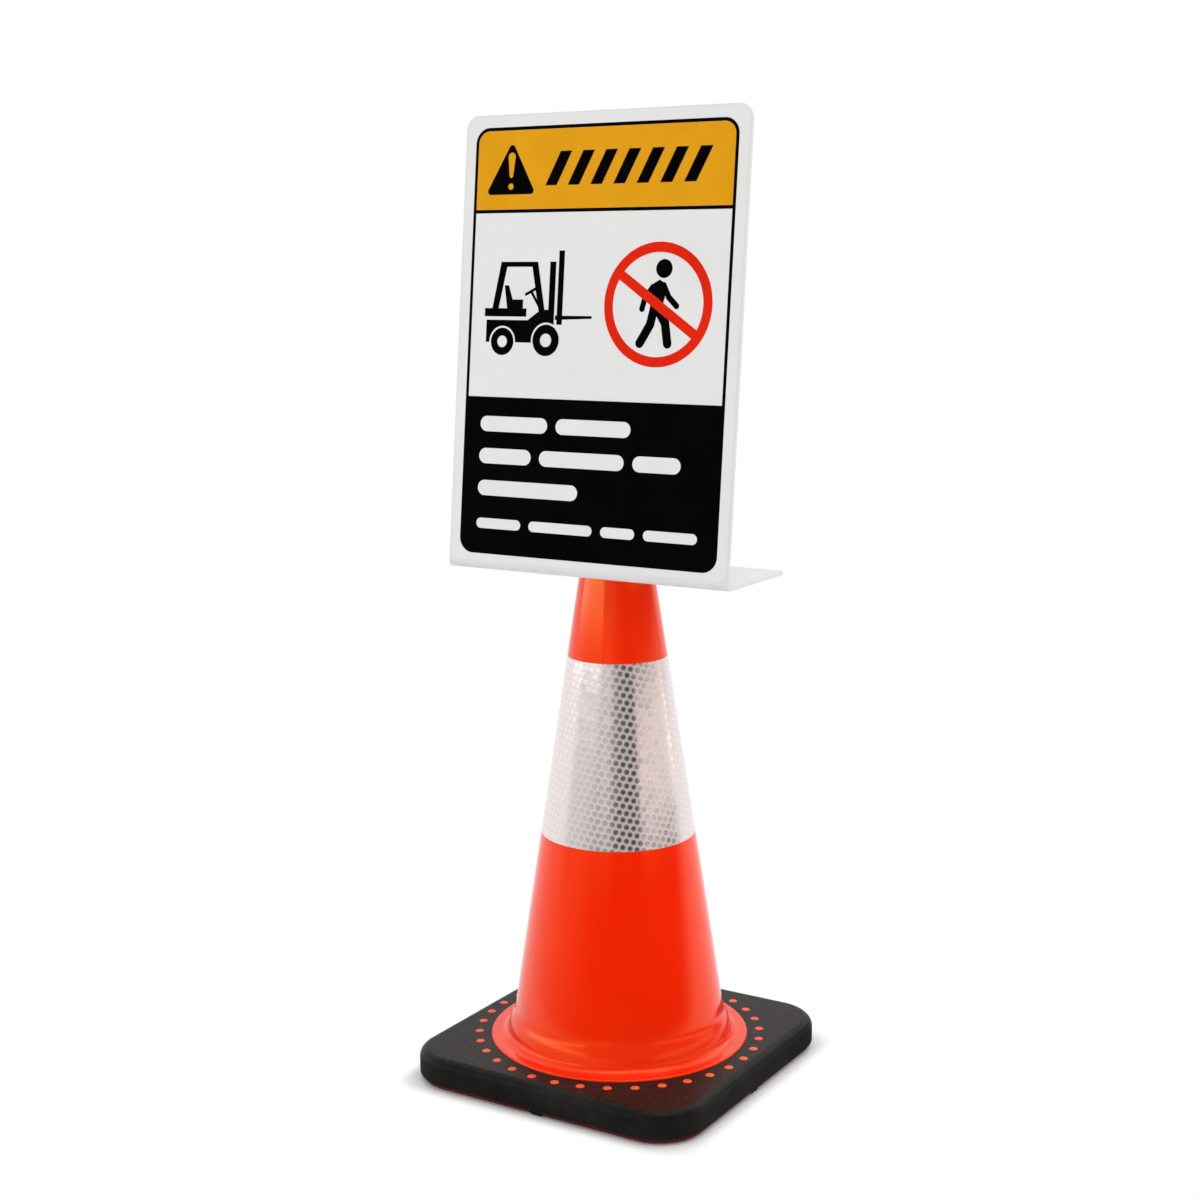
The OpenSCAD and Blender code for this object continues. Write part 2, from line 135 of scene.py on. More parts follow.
# the studio: a white table, softboxes, a card at the right and a dark room behind the camera
studioLights = [
    {"name": "leftSoftbox", "azimuth": -43.0, "distance": 1.5, "height": 0.57,
     "width": 2.3, "tall": 0.20, "roll": 5.0, "radiance": 2.8, "color": (1.0, 1.0, 1.0)},
    {"name": "topSoftbox", "azimuth": 70.0, "distance": 0.5, "height": 1.9,
     "width": 1.6, "tall": 1.6, "roll": 0.0, "radiance": 1.0, "color": (1.0, 1.0, 1.0)},
    {"name": "rightSoftbox", "azimuth": 148.0, "distance": 1.6, "height": 1.1,
     "width": 1.6, "tall": 1.2, "roll": 0.0, "radiance": 0.7, "color": (1.0, 1.0, 1.0)},
    {"name": "rightCard", "azimuth": 104.0, "distance": 1.3, "height": 0.275,
     "width": 2.1, "tall": 0.25, "roll": -2.0, "radiance": 0.88, "color": (1.0, 0.86, 0.80)},
]
studioRoom = {
    "aim": (0.0, 0.0, 0.35),
    "dome": 0.80,  # even light from all round
    "dark": 0.03,
    "darkAzimuth": 61.0,  # middle of the dark side at the height darkLevel
    "darkLevel": -4.0,
    "darkLean": 4.5,  # the dark side leans to the right as it rises
    "leanLimit": 50.0,
    "leanFull": 10.0,  # height up to which it leans
    "leanNone": 20.0,
    "darkLeft": 54.0,  # degrees from its middle
    "lightLeft": 122.0,
    "darkRight": 58.0,
    "lightRight": 98.0,
    "darkTop": 50.0,  # its height
    "lightAbove": 72.0,
    "grey": 0.36,  # a half dark stretch at its left
    "greyEnd": 122.0,
    "greyLeft": 106.0,
    "greyRight": 11.46,
    "greyGone": -17.19,
    "gap": 0.6,  # a paler gap between the two, only a few degrees high
    "gapLeft": 63.0,
    "gapRight": 36.0,
    "gapEdge": 9.0,
    "gapLow": -0.2,
    "gapTop": 5.6,
    "gapFade": 0.7,
    "tableR": 0.45,
    "tableSides": 96,
    "tableFadeFrom": 0.130,  # its shade shows only in a square under the base
    "tableFadeTo": 0.142,
    "tableRounding": 0.05,  # of that square's corners
    "tableColor": (0.92, 0.92, 0.92),
}


def addLight(spec, aim):
    data = bpy.data.lights.new(spec["name"], "AREA")
    data.shape = "RECTANGLE"
    data.size = spec["width"]
    data.size_y = spec["tall"]
    data.energy = spec["radiance"] * math.pi * spec["width"] * spec["tall"]
    data.color = spec["color"]
    light = bpy.data.objects.new(spec["name"], data)
    bpy.context.scene.collection.objects.link(light)
    place = around(spec["azimuth"], spec["distance"], spec["height"])
    facing = (Vector(aim) - place).to_track_quat("-Z", "Y").to_matrix().to_4x4()
    roll = Matrix.Rotation(math.radians(spec["roll"]), 4, "Z")
    light.matrix_world = Matrix.Translation(place) @ facing @ roll


def angleRamp(tree, angle, start, end, high=1.0):
    return ramp(tree, angle, math.radians(start), math.radians(end), 0.0, high)


def riseRamp(tree, rise, start, end):
    return ramp(tree, rise, math.sin(math.radians(start)), math.sin(math.radians(end)))


def addWorld(spec):
    world = bpy.data.worlds.new("whiteRoom")
    bpy.context.scene.world = world
    world.use_nodes = True
    tree = world.node_tree
    toward = addNode(tree, "TexCoord").outputs["Generated"]
    rise = addNode(tree, "SeparateXYZ", {0: toward}).outputs["Z"]
    sides = [around(spec["darkAzimuth"] + turn, 1.0, 0.0) for turn in (0.0, 90.0)]
    ahead, beside = [dot(tree, toward, side) for side in sides]
    upright = calc(tree, "ARCTAN2", beside, ahead)
    # the dark side
    lean = calc(tree, "SUBTRACT", rise, math.sin(math.radians(spec["darkLevel"])))
    lean = calc(tree, "MULTIPLY", lean, spec["darkLean"])
    lean = calc(tree, "MINIMUM", lean, math.radians(spec["leanLimit"]))
    lean = calc(tree, "MULTIPLY", lean, riseRamp(tree, rise, spec["leanNone"], spec["leanFull"]))
    bearing = calc(tree, "SUBTRACT", upright, lean)
    left = angleRamp(tree, bearing, -spec["lightLeft"], -spec["darkLeft"])
    right = angleRamp(tree, bearing, spec["lightRight"], spec["darkRight"])
    shade = calc(tree, "MULTIPLY", calc(tree, "MULTIPLY", left, right), 1.0 - spec["dark"])
    # the half dark stretch
    left = angleRamp(tree, upright, -spec["greyEnd"], -spec["greyLeft"], spec["grey"])
    right = angleRamp(tree, upright, -spec["greyGone"], -spec["greyRight"])
    shade = calc(tree, "MAXIMUM", shade, calc(tree, "MULTIPLY", left, right))
    below = riseRamp(tree, rise, spec["lightAbove"], spec["darkTop"])
    shade = calc(tree, "MULTIPLY", shade, below)
    # the paler gap
    edge, fade = spec["gapEdge"], spec["gapFade"]
    left = angleRamp(tree, upright, -spec["gapLeft"], edge - spec["gapLeft"], spec["gap"])
    right = angleRamp(tree, upright, -spec["gapRight"], -spec["gapRight"] - edge)
    above = riseRamp(tree, rise, spec["gapLow"] - fade, spec["gapLow"] + fade)
    below = riseRamp(tree, rise, spec["gapTop"] + fade, spec["gapTop"] - fade)
    across = calc(tree, "MULTIPLY", left, right)
    gap = calc(tree, "MULTIPLY", across, calc(tree, "MULTIPLY", above, below))
    shade = calc(tree, "MULTIPLY", shade, calc(tree, "SUBTRACT", 1.0, gap))
    # shiny surfaces see the dark room, the camera sees white
    rays = addNode(tree, "LightPath").outputs
    mirrored = calc(tree, "MAXIMUM", rays["Is Glossy Ray"], rays["Is Transmission Ray"])
    room = calc(tree, "SUBTRACT", 1.0, shade)
    level = addNode(tree, "Mix", {0: mirrored, 2: spec["dome"], 3: room}).outputs[0]
    level = addNode(tree, "Mix", {0: rays["Is Camera Ray"], 2: level, 3: 1.0}).outputs[0]
    setInputs(tree, tree.nodes["Background"], {"Color": (1.0, 1.0, 1.0), "Strength": level})


def addTable(spec):
    bm = bmesh.new()
    bmesh.ops.create_circle(bm, cap_ends=True, radius=spec["tableR"], segments=spec["tableSides"])
    mesh = bpy.data.meshes.new("table")
    bm.to_mesh(mesh)
    bm.free()
    material = bpy.data.materials.new("tableWhite")
    material.use_nodes = True
    tree = material.node_tree
    coords = addNode(tree, "TexCoord").outputs["Object"]
    spans = addNode(tree, "SeparateXYZ", {0: vectorCalc(tree, "ABSOLUTE", coords)}).outputs
    reach = calc(tree, "SMOOTH_MAX", spans["X"], spans["Y"], spec["tableRounding"])
    fade = ramp(tree, reach, spec["tableFadeFrom"], spec["tableFadeTo"])
    rays = addNode(tree, "LightPath").outputs
    mirrored = calc(tree, "MAXIMUM", rays["Is Glossy Ray"], rays["Is Transmission Ray"])
    seen = calc(tree, "MAXIMUM", rays["Is Camera Ray"], mirrored)
    glow = addNode(tree, "Emission", {"Color": (1.0, 1.0, 1.0), "Strength": 1.0}).outputs[0]
    paper = addNode(tree, "BsdfDiffuse", {"Color": spec["tableColor"]}).outputs[0]
    shown = addNode(tree, "MixShader", {0: calc(tree, "MULTIPLY", seen, fade), 1: paper, 2: glow})
    setInputs(tree, tree.nodes["Material Output"], {"Surface": shown.outputs[0]})
    mesh.materials.append(material)
    table = bpy.data.objects.new("table", mesh)
    bpy.context.scene.collection.objects.link(table)


addWorld(studioRoom)
addTable(studioRoom)
for lightSpec in studioLights:
    addLight(lightSpec, studioRoom["aim"])
print("studio lit")


# effects that several finishes share
grainLook = {"detail": 4.0, "rough": 0.6, "broadScale": 0.02, "broadDetail": 3.0}
scuffLook = {
    "turns": (0.5, -0.9), "turnShares": (1.0, 0.7, 1.9), "stretch": (1.0, 0.05, 0.3), "detail": 2.0,
    "from": 0.66, "to": 0.74, "patchScale": 0.06, "edge": 0.85, "reach": 0.6, "fade": 0.12,
}
smudgeLook = {"detail": 6.0, "rough": 0.62, "edge": 0.8, "reach": 0.5, "fade": 0.22}


def newGroup(name, inputs, outputs):
    group = bpy.data.node_groups.new(name, "ShaderNodeTree")
    for label, kind in inputs.items():
        group.interface.new_socket(name=label, in_out="INPUT", socket_type="NodeSocket" + kind)
    for label, kind in outputs.items():
        group.interface.new_socket(name=label, in_out="OUTPUT", socket_type="NodeSocket" + kind)
    return group, group.nodes.new("NodeGroupInput").outputs, group.nodes.new("NodeGroupOutput")


def newMask(name):
    inputs = {"Vector": "Vector", "Scale": "Float", "Coverage": "Float"}
    return newGroup(name, inputs, {"Mask": "Float"})


def useGroup(tree, group, values):
    node = tree.nodes.new("ShaderNodeGroup")
    node.node_tree = group
    setInputs(tree, node, values)
    return node.outputs


def useMask(tree, group, coords, scale, coverage):
    return useGroup(tree, group, {"Vector": coords, "Scale": scale, "Coverage": coverage})["Mask"]


def covered(group, value, coverage, look):
    edge = calc(group, "SUBTRACT", look["edge"], calc(group, "MULTIPLY", coverage, look["reach"]))
    return ramp(group, value, edge, calc(group, "ADD", edge, look["fade"]))


def makeMouldGrain(look):
    group, given, result = newGroup("mouldGrain", {"Vector": "Vector", "Scale": "Float"},
                                    {"Height": "Float", "Tone": "Float"})
    fine = noise(group, given["Vector"], given["Scale"], look["detail"], look["rough"])
    broadScale = calc(group, "MULTIPLY", given["Scale"], look["broadScale"])
    broad = noise(group, given["Vector"], broadScale, look["broadDetail"])
    setInputs(group, result, {"Height": fine, "Tone": broad})
    return group


def makeScuffMarks(look):
    group, given, result = newMask("scuffMarks")
    marks = []
    for turn in look["turns"]:
        turned = tuple(turn * share for share in look["turnShares"])
        values = {"Vector": given["Vector"], "Rotation": turned, "Scale": look["stretch"]}
        laid = addNode(group, "Mapping", values).outputs[0]
        streaks = noise(group, laid, given["Scale"], look["detail"])
        marks.append(ramp(group, streaks, look["from"], look["to"]))
    either = calc(group, "MAXIMUM", *marks)
    patchScale = calc(group, "MULTIPLY", given["Scale"], look["patchScale"])
    patches = noise(group, given["Vector"], patchScale, look["detail"])
    place = covered(group, patches, given["Coverage"], look)
    setInputs(group, result, {"Mask": calc(group, "MULTIPLY", either, place)})
    return group


def makeSmudges(look):
    group, given, result = newMask("smudges")
    cloud = noise(group, given["Vector"], given["Scale"], look["detail"], look["rough"])
    setInputs(group, result, {"Mask": covered(group, cloud, given["Coverage"], look)})
    return group


mouldGrain = makeMouldGrain(grainLook)
scuffMarks = makeScuffMarks(scuffLook)
smudges = makeSmudges(smudgeLook)


def newFinish(name):
    material = bpy.data.materials.new(name)
    material.use_nodes = True
    tree = material.node_tree
    coords = addNode(tree, "TexCoord").outputs["Object"]
    return material, tree, tree.nodes["Principled BSDF"], coords


# black moulded rubber of the base and its pads
rubberLook = {
    "toneFrom": 0.35, "toneTo": 0.7, "scuffScale": 260.0, "scuffCover": 0.55, "scuffMix": 0.5,
    "dustScale": 22.0, "dustCover": 0.45, "dustMix": 0.22,
    "topFrom": 0.0240, "topTo": 0.0262, "mottleFrom": 0.38, "mottleTo": 0.66,  # dust on the top
    "sideTop": 0.0230, "sideLow": 0.0184,  # the sides are duller
    "grainRough": 0.12, "dustRough": 0.16, "bump": 0.25, "bumpHeight": 0.0003,
}
baseRubber = {
    **rubberLook, "black": (0.005, 0.0047, 0.0045), "worn": (0.012, 0.0112, 0.0105),
    "dust": (0.04, 0.037, 0.034), "topDust": (0.080, 0.053, 0.030), "topCover": 0.20,
    "rough": 0.32, "sideRough": 0.42, "specular": 0.11, "grain": 1100.0, "mottle": 330.0,
}
padRubber = {
    **rubberLook, "black": (0.006, 0.006, 0.006), "worn": (0.020, 0.019, 0.018),
    "dust": (0.05, 0.047, 0.043), "topDust": (0.05, 0.047, 0.043), "topCover": 0.1,
    "rough": 0.55, "sideRough": 0.2, "specular": 0.12, "grain": 1500.0, "mottle": 400.0,
}


def makeRubber(name, spec):
    material, tree, shader, coords = newFinish(name)
    height = addNode(tree, "SeparateXYZ", {0: coords}).outputs["Z"]
    grain = useGroup(tree, mouldGrain, {"Vector": coords, "Scale": spec["grain"]})
    mottle = useGroup(tree, mouldGrain, {"Vector": coords, "Scale": spec["mottle"]})["Height"]
    scuffed = useMask(tree, scuffMarks, coords, spec["scuffScale"], spec["scuffCover"])
    dusty = useMask(tree, smudges, coords, spec["dustScale"], spec["dustCover"])
    worn = ramp(tree, grain["Tone"], spec["toneFrom"], spec["toneTo"])
    tone = mixColor(tree, worn, spec["black"], spec["worn"])
    tone = mixColor(tree, calc(tree, "MULTIPLY", scuffed, spec["scuffMix"]), tone, spec["dust"])
    tone = mixColor(tree, calc(tree, "MULTIPLY", dusty, spec["dustMix"]), tone, spec["dust"])
    onTop = ramp(tree, height, spec["topFrom"], spec["topTo"], 0.0, spec["topCover"])
    mottled = ramp(tree, mottle, spec["mottleFrom"], spec["mottleTo"])
    tone = mixColor(tree, calc(tree, "MULTIPLY", mottled, onTop), tone, spec["topDust"])
    uneven = calc(tree, "MULTIPLY", grain["Height"], spec["grainRough"])
    rough = calc(tree, "ADD", spec["rough"], uneven)
    rough = calc(tree, "ADD", rough, calc(tree, "MULTIPLY", dusty, spec["dustRough"]))
    side = ramp(tree, height, spec["sideTop"], spec["sideLow"], 0.0, spec["sideRough"])
    relief = bump(tree, grain["Height"], spec["bump"], spec["bumpHeight"])
    setInputs(tree, shader, {"Base Color": tone, "Roughness": calc(tree, "ADD", rough, side),
                             "Specular IOR Level": spec["specular"], "Normal": relief})
    return material


# glossy fluorescent vinyl of the cone, and the duller vinyl of its plugs
vinylLook = {
    "toneFrom": 0.3, "toneTo": 0.7, "peelScale": 420.0, "peelRough": 0.06,
    "scuffScale": 210.0, "scuffMix": 0.16, "scuffRough": 0.22,
    "soilScale": 34.0, "soilCover": 0.5, "soilMix": 0.35,
    "rubbedFrom": 0.33, "rubbedTo": 0.36, "rubbedRough": 0.035,  # duller near the tip
    "bump": 0.06, "bumpHeight": 0.0004,
}
coneVinyl = {
    **vinylLook, "red": (0.96, 0.0140, 0.0001), "orange": (0.99, 0.0190, 0.0002),
    "chalk": (0.98, 0.20, 0.10), "sheen": (1.0, 0.72, 0.20), "grime": (0.20, 0.020, 0.008),
    "rough": 0.08, "specular": 0.76, "scuffs": 0.35, "grimeTop": 0.060, "grimeFull": 0.024,
    "bandRise": (0.028, 0.030), "bandFall": (0.055, 0.047), "bandRough": 0.11,  # duller at the foot
}
lockVinyl = {
    **vinylLook, "red": (0.90, 0.075, 0.016), "orange": (0.97, 0.13, 0.035),
    "chalk": (0.98, 0.30, 0.16), "sheen": (1.0, 0.85, 0.70), "grime": (0.16, 0.022, 0.010),
    "rough": 0.34, "specular": 0.5, "scuffs": 0.6, "grimeTop": 0.012, "grimeFull": 0.0048,
    "bandRise": (0.003, 0.005), "bandFall": (0.030, 0.022), "bandRough": 0.1,
}


def makeVinyl(name, spec):
    material, tree, shader, coords = newFinish(name)
    height = addNode(tree, "SeparateXYZ", {0: coords}).outputs["Z"]
    peel = useGroup(tree, mouldGrain, {"Vector": coords, "Scale": spec["peelScale"]})
    scuffed = useMask(tree, scuffMarks, coords, spec["scuffScale"], spec["scuffs"])
    soiled = useMask(tree, smudges, coords, spec["soilScale"], spec["soilCover"])
    low = ramp(tree, height, spec["grimeTop"], spec["grimeFull"], 0.0, spec["soilMix"])
    mixed = ramp(tree, peel["Tone"], spec["toneFrom"], spec["toneTo"])
    tone = mixColor(tree, mixed, spec["red"], spec["orange"])
    tone = mixColor(tree, calc(tree, "MULTIPLY", scuffed, spec["scuffMix"]), tone, spec["chalk"])
    tone = mixColor(tree, calc(tree, "MULTIPLY", soiled, low), tone, spec["grime"])
    uneven = calc(tree, "MULTIPLY", peel["Tone"], spec["peelRough"])
    rough = calc(tree, "ADD", spec["rough"], uneven)
    rough = calc(tree, "ADD", rough, calc(tree, "MULTIPLY", scuffed, spec["scuffRough"]))
    rubbed = ramp(tree, height, spec["rubbedFrom"], spec["rubbedTo"], 0.0, spec["rubbedRough"])
    rough = calc(tree, "ADD", rough, rubbed)
    band = calc(tree, "MULTIPLY", ramp(tree, height, *spec["bandRise"]),
                ramp(tree, height, *spec["bandFall"], 0.0, spec["bandRough"]))
    relief = bump(tree, peel["Height"], spec["bump"], spec["bumpHeight"])
    setInputs(tree, shader, {"Base Color": tone, "Roughness": calc(tree, "ADD", rough, band),
                             "Specular IOR Level": spec["specular"],
                             "Specular Tint": spec["sheen"], "Normal": relief})
    return material


# white prismatic sheeting: small mirror cells, set close on a slanted net, in a white sealing film
sheeting = {
    "rowStep": (0.00575, -0.00057, 0.0), "columnStep": (-0.00247, -0.00515, 0.0),
    # film and cell are tinted pink, partly painted orange bounce light from the cone and partly the
    # cone's orange showing through the thin sheet
    "film": (0.80, 0.70, 0.69), "cell": (0.85, 0.785, 0.77), "spot": (0.22, 0.20, 0.19),
    "cellCore": 0.0010, "cellRim": 0.0031, "metal": 0.97, "filmMetal": 0.36, "rough": 0.14,
    "spotScale": 60.0, "spotCover": 0.22, "spotMix": 0.6, "scuffScale": 240.0, "scuffs": 0.4,
    "markDull": 0.7, "cellRough": 0.10, "bump": 0.05, "bumpHeight": 0.0003,
}


def makeSheeting(name, spec):
    material, tree, shader, coords = newFinish(name)
    flat = addNode(tree, "UVMap", uv_map="flatSheet").outputs[0]
    row, column = Vector(spec["rowStep"]), Vector(spec["columnStep"])
    area = row.x * column.y - row.y * column.x
    perStep = [Vector((column.y, -column.x, 0)) / area, Vector((-row.y, row.x, 0)) / area]
    counts = [dot(tree, flat, step) for step in perStep]
    places = [calc(tree, "ROUND", count) for count in counts]
    offsets = [vectorCalc(tree, "SCALE", step) for step in (row, column)]
    for offset, count, place in zip(offsets, counts, places):
        tree.links.new(calc(tree, "SUBTRACT", count, place), offset.node.inputs["Scale"])
    offMiddle = vectorCalc(tree, "ADD", *offsets)
    distance = addNode(tree, "VectorMath", {0: offMiddle}, operation="LENGTH").outputs["Value"]
    film = ramp(tree, distance, spec["cellCore"], spec["cellRim"])
    cellId = addNode(tree, "CombineXYZ", {"X": places[0], "Y": places[1]}).outputs[0]
    chance = addNode(tree, "TexWhiteNoise", {"Vector": cellId}).outputs["Value"]
    spots = useMask(tree, smudges, coords, spec["spotScale"], spec["spotCover"])
    scuffed = useMask(tree, scuffMarks, coords, spec["scuffScale"], spec["scuffs"])
    tone = mixColor(tree, film, spec["cell"], spec["film"])
    tone = mixColor(tree, calc(tree, "MULTIPLY", spots, spec["spotMix"]), tone, spec["spot"])
    marked = calc(tree, "MULTIPLY", calc(tree, "MAXIMUM", spots, scuffed), spec["markDull"])
    dull = calc(tree, "MAXIMUM", film, marked)
    metal = addNode(tree, "Mix", {0: dull, 2: spec["metal"], 3: spec["filmMetal"]}).outputs[0]
    rough = calc(tree, "ADD", spec["rough"], calc(tree, "MULTIPLY", chance, spec["cellRough"]))
    relief = bump(tree, film, spec["bump"], spec["bumpHeight"])
    setInputs(tree, shader, {"Base Color": tone, "Roughness": rough, "Metallic": metal,
                             "Normal": relief})
    return material


# satin white sheet of the sign, its printed film and the inks, and the dull vinyl under the base,
# dark red partly from stains off the black base and partly from painted shade
satinLook = {
    "toneFrom": 0.3, "toneTo": 0.75, "scuffScale": 230.0, "scuffRough": 0.12,
    "handScale": 14.0, "handCover": 0.4, "handRough": 0.07, "bumpHeight": 0.0002,
}
printLook = {**satinLook, "rough": 0.5, "grain": 1400.0, "bump": 0.03, "scuffs": 0.2}
whiteSheet = {
    **satinLook, "color": (0.77, 0.77, 0.76), "shade": (0.73, 0.73, 0.725), "rough": 0.36,
    "specular": 0.30, "grain": 900.0, "bump": 0.05, "scuffs": 0.35,
}
whiteFilm = {
    **printLook, "color": (0.80, 0.80, 0.795), "shade": (0.775, 0.775, 0.765), "rough": 0.42,
    "specular": 0.20,
}
amberInk = {
    **printLook, "color": (0.78, 0.355, 0.008), "shade": (0.73, 0.325, 0.007), "specular": 0.04,
}
blackInk = {
    **printLook, "color": (0.0010, 0.0007, 0.0008), "shade": (0.0022, 0.0018, 0.0019),
    "specular": 0.012,
}
redInk = {
    **printLook, "color": (0.80, 0.019, 0.003), "shade": (0.75, 0.016, 0.0025), "specular": 0.04,
}
# dark red: the orange vinyl darkened partly by stains from the black base and partly with painted
# shade where it lies under the base
plateVinylPaintedShade = {
    **satinLook, "color": (0.12, 0.006, 0.009), "shade": (0.09, 0.005, 0.007), "rough": 0.55,
    "specular": 0.15, "grain": 700.0, "bump": 0.05, "scuffs": 0.4,
}


def makeSatin(name, spec):
    material, tree, shader, coords = newFinish(name)
    grain = useGroup(tree, mouldGrain, {"Vector": coords, "Scale": spec["grain"]})
    scuffed = useMask(tree, scuffMarks, coords, spec["scuffScale"], spec["scuffs"])
    handled = useMask(tree, smudges, coords, spec["handScale"], spec["handCover"])
    shaded = ramp(tree, grain["Tone"], spec["toneFrom"], spec["toneTo"])
    tone = mixColor(tree, shaded, spec["color"], spec["shade"])
    rough = calc(tree, "ADD", spec["rough"], calc(tree, "MULTIPLY", handled, spec["handRough"]))
    rough = calc(tree, "ADD", rough, calc(tree, "MULTIPLY", scuffed, spec["scuffRough"]))
    relief = bump(tree, grain["Height"], spec["bump"], spec["bumpHeight"])
    setInputs(tree, shader, {"Base Color": tone, "Roughness": rough,
                             "Specular IOR Level": spec["specular"], "Normal": relief})
    return material


finishes = {
    "baseRubber": makeRubber("baseRubber", baseRubber),
    "padRubber": makeRubber("padRubber", padRubber),
    "coneVinyl": makeVinyl("coneVinyl", coneVinyl),
    "lockVinyl": makeVinyl("lockVinyl", lockVinyl),
    "sheeting": makeSheeting("sheeting", sheeting),
    "whiteSheet": makeSatin("whiteSheet", whiteSheet),
    "whiteFilm": makeSatin("whiteFilm", whiteFilm),
    "amberInk": makeSatin("amberInk", amberInk),
    "blackInk": makeSatin("blackInk", blackInk),
    "redInk": makeSatin("redInk", redInk),
    "plateVinylPaintedShade": makeSatin("plateVinylPaintedShade", plateVinylPaintedShade),
}
print("finishes made:", len(finishes))


# small helpers for meshes
touching = 1e-6  # points nearer than this count as one


def bevel(bm, edges, width, segments):
    bmesh.ops.bevel(bm, geom=edges, offset=width, offset_type="OFFSET", affect="EDGES",
                    segments=segments, profile=0.5, material=-1, clamp_overlap=True)


def roundCorners(bm, corners, radius, segments):
    bmesh.ops.bevel(bm, geom=corners, offset=radius, offset_type="OFFSET", affect="VERTICES",
                    segments=segments, profile=0.5, material=-1)


def movedVerts(result):
    return [item for item in result["geom"] if isinstance(item, bmesh.types.BMVert)]


def spinProfile(points, steps):
    bm = bmesh.new()
    verts = [bm.verts.new((radius, 0.0, height)) for radius, height in points]
    edges = [bm.edges.new(pair) for pair in zip(verts, verts[1:] + verts[:1])]
    bmesh.ops.spin(bm, geom=verts + edges, cent=(0, 0, 0), axis=(0, 0, 1), angle=math.tau,
                   steps=steps, use_merge=True)
    bmesh.ops.remove_doubles(bm, verts=bm.verts, dist=touching)
    bmesh.ops.recalc_face_normals(bm, faces=bm.faces)
    return bm


def ringEdges(bm, radius, height, near=2e-5):
    def onRing(vert):
        return abs(vert.co.xy.length - radius) < near and abs(vert.co.z - height) < near
    return [edge for edge in bm.edges if all(onRing(vert) for vert in edge.verts)]


def makeObject(bm, name):
    mesh = bpy.data.meshes.new(name)
    bm.to_mesh(mesh)
    bm.free()
    piece = bpy.data.objects.new(name, mesh)
    bpy.context.scene.collection.objects.link(piece)
    return piece


def keepFlat(piece):
    flat = piece.modifiers.new("keepFlat", "WEIGHTED_NORMAL")
    flat.keep_sharp = True
    flat.weight = 100


def finishPiece(piece, finish, body, node, sharp=35.0):
    mesh = piece.data
    mesh.shade_smooth()
    mesh.set_sharp_from_angle(angle=math.radians(sharp))
    mesh.materials.clear()
    mesh.materials.append(finishes[finish])
    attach(piece, body)
    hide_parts(node)
    print(node, "replaced,", len(mesh.polygons), "faces")


def carve(piece, tools, operation="DIFFERENCE"):
    for tool in tools:
        cut = piece.modifiers.new("carve", "BOOLEAN")
        cut.operation = operation
        cut.solver = "EXACT"
        cut.object = tool
    ready = piece.evaluated_get(bpy.context.evaluated_depsgraph_get())
    piece.data = bpy.data.meshes.new_from_object(ready)
    piece.modifiers.clear()
    for tool in tools:
        bpy.data.objects.remove(tool)


def roundTool(name, lowR, highR, lowZ, highZ, sides, places):
    bm = bmesh.new()
    for place in places:
        bmesh.ops.create_cone(bm, cap_ends=True, segments=sides, radius1=lowR, radius2=highR,
                              depth=highZ - lowZ,
                              matrix=place @ Matrix.Translation((0, 0, (lowZ + highZ) / 2)))
    return makeObject(bm, name)


def roundedSlab(low, high, top, corner, steps):
    bm = bmesh.new()
    corners = [bm.verts.new((x, y, low.z)) for x, y in
               ((low.x, low.y), (high.x, low.y), (high.x, high.y), (low.x, high.y))]
    bm.faces.new(corners)
    roundCorners(bm, corners, corner, steps)
    raised = bmesh.ops.extrude_face_region(bm, geom=bm.faces[:])
    bmesh.ops.translate(bm, verts=movedVerts(raised), vec=(0, 0, top - low.z))
    bmesh.ops.recalc_face_normals(bm, faces=bm.faces)
    return bm


def rimEdges(bm, height):
    def onRim(vert):
        return abs(vert.co.z - height) < touching
    return [edge for edge in bm.edges if all(onRim(vert) for vert in edge.verts)]


def blockPerSide(inner, outer, length, lowZ, highZ):
    bm = bmesh.new()
    for quarter in range(4):
        turn = Matrix.Rotation(math.tau * quarter / 4, 4, "Z")
        place = Matrix.Translation(((inner + outer) / 2, 0, (lowZ + highZ) / 2))
        size = Matrix.Diagonal((outer - inner, length, highZ - lowZ, 1.0))
        bmesh.ops.create_cube(bm, size=1.0, matrix=turn @ place @ size)
    return bm


still = [Matrix.Identity(4)]


# cone: straight wall, a band at its foot and a flange on the base
coneShell = {
    "footR": 0.0865, "footZ": 0.048, "tipR": 0.02325, "wall": 0.003,
    "boreR": 0.018, "boreL": 0.010, "shoulder": 0.004, "rim": 0.0015, "boreEdge": 0.0006,
    "recess": 0.0006, "recessClear": 0.0001,
    "bandStep": 0.0035, "bandDrop": 0.009, "bandEdge": 0.0045, "footEdge": 0.003,
    "flangeW": 0.013, "flangeT": 0.0015, "flangeEdge": 0.0014, "fillet": 0.006,
    "edgeSteps": 6, "rimSteps": 5, "boreSteps": 3, "steps": 160,
}
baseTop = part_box("base_slab")[1].z
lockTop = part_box("lock_ring")[1].z
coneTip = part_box("cone_shell")[1].z
wallTaper = (coneShell["footR"] - coneShell["tipR"]) / (coneTip - coneShell["footZ"])


def wallR(height):
    return coneShell["footR"] - (height - coneShell["footZ"]) * wallTaper


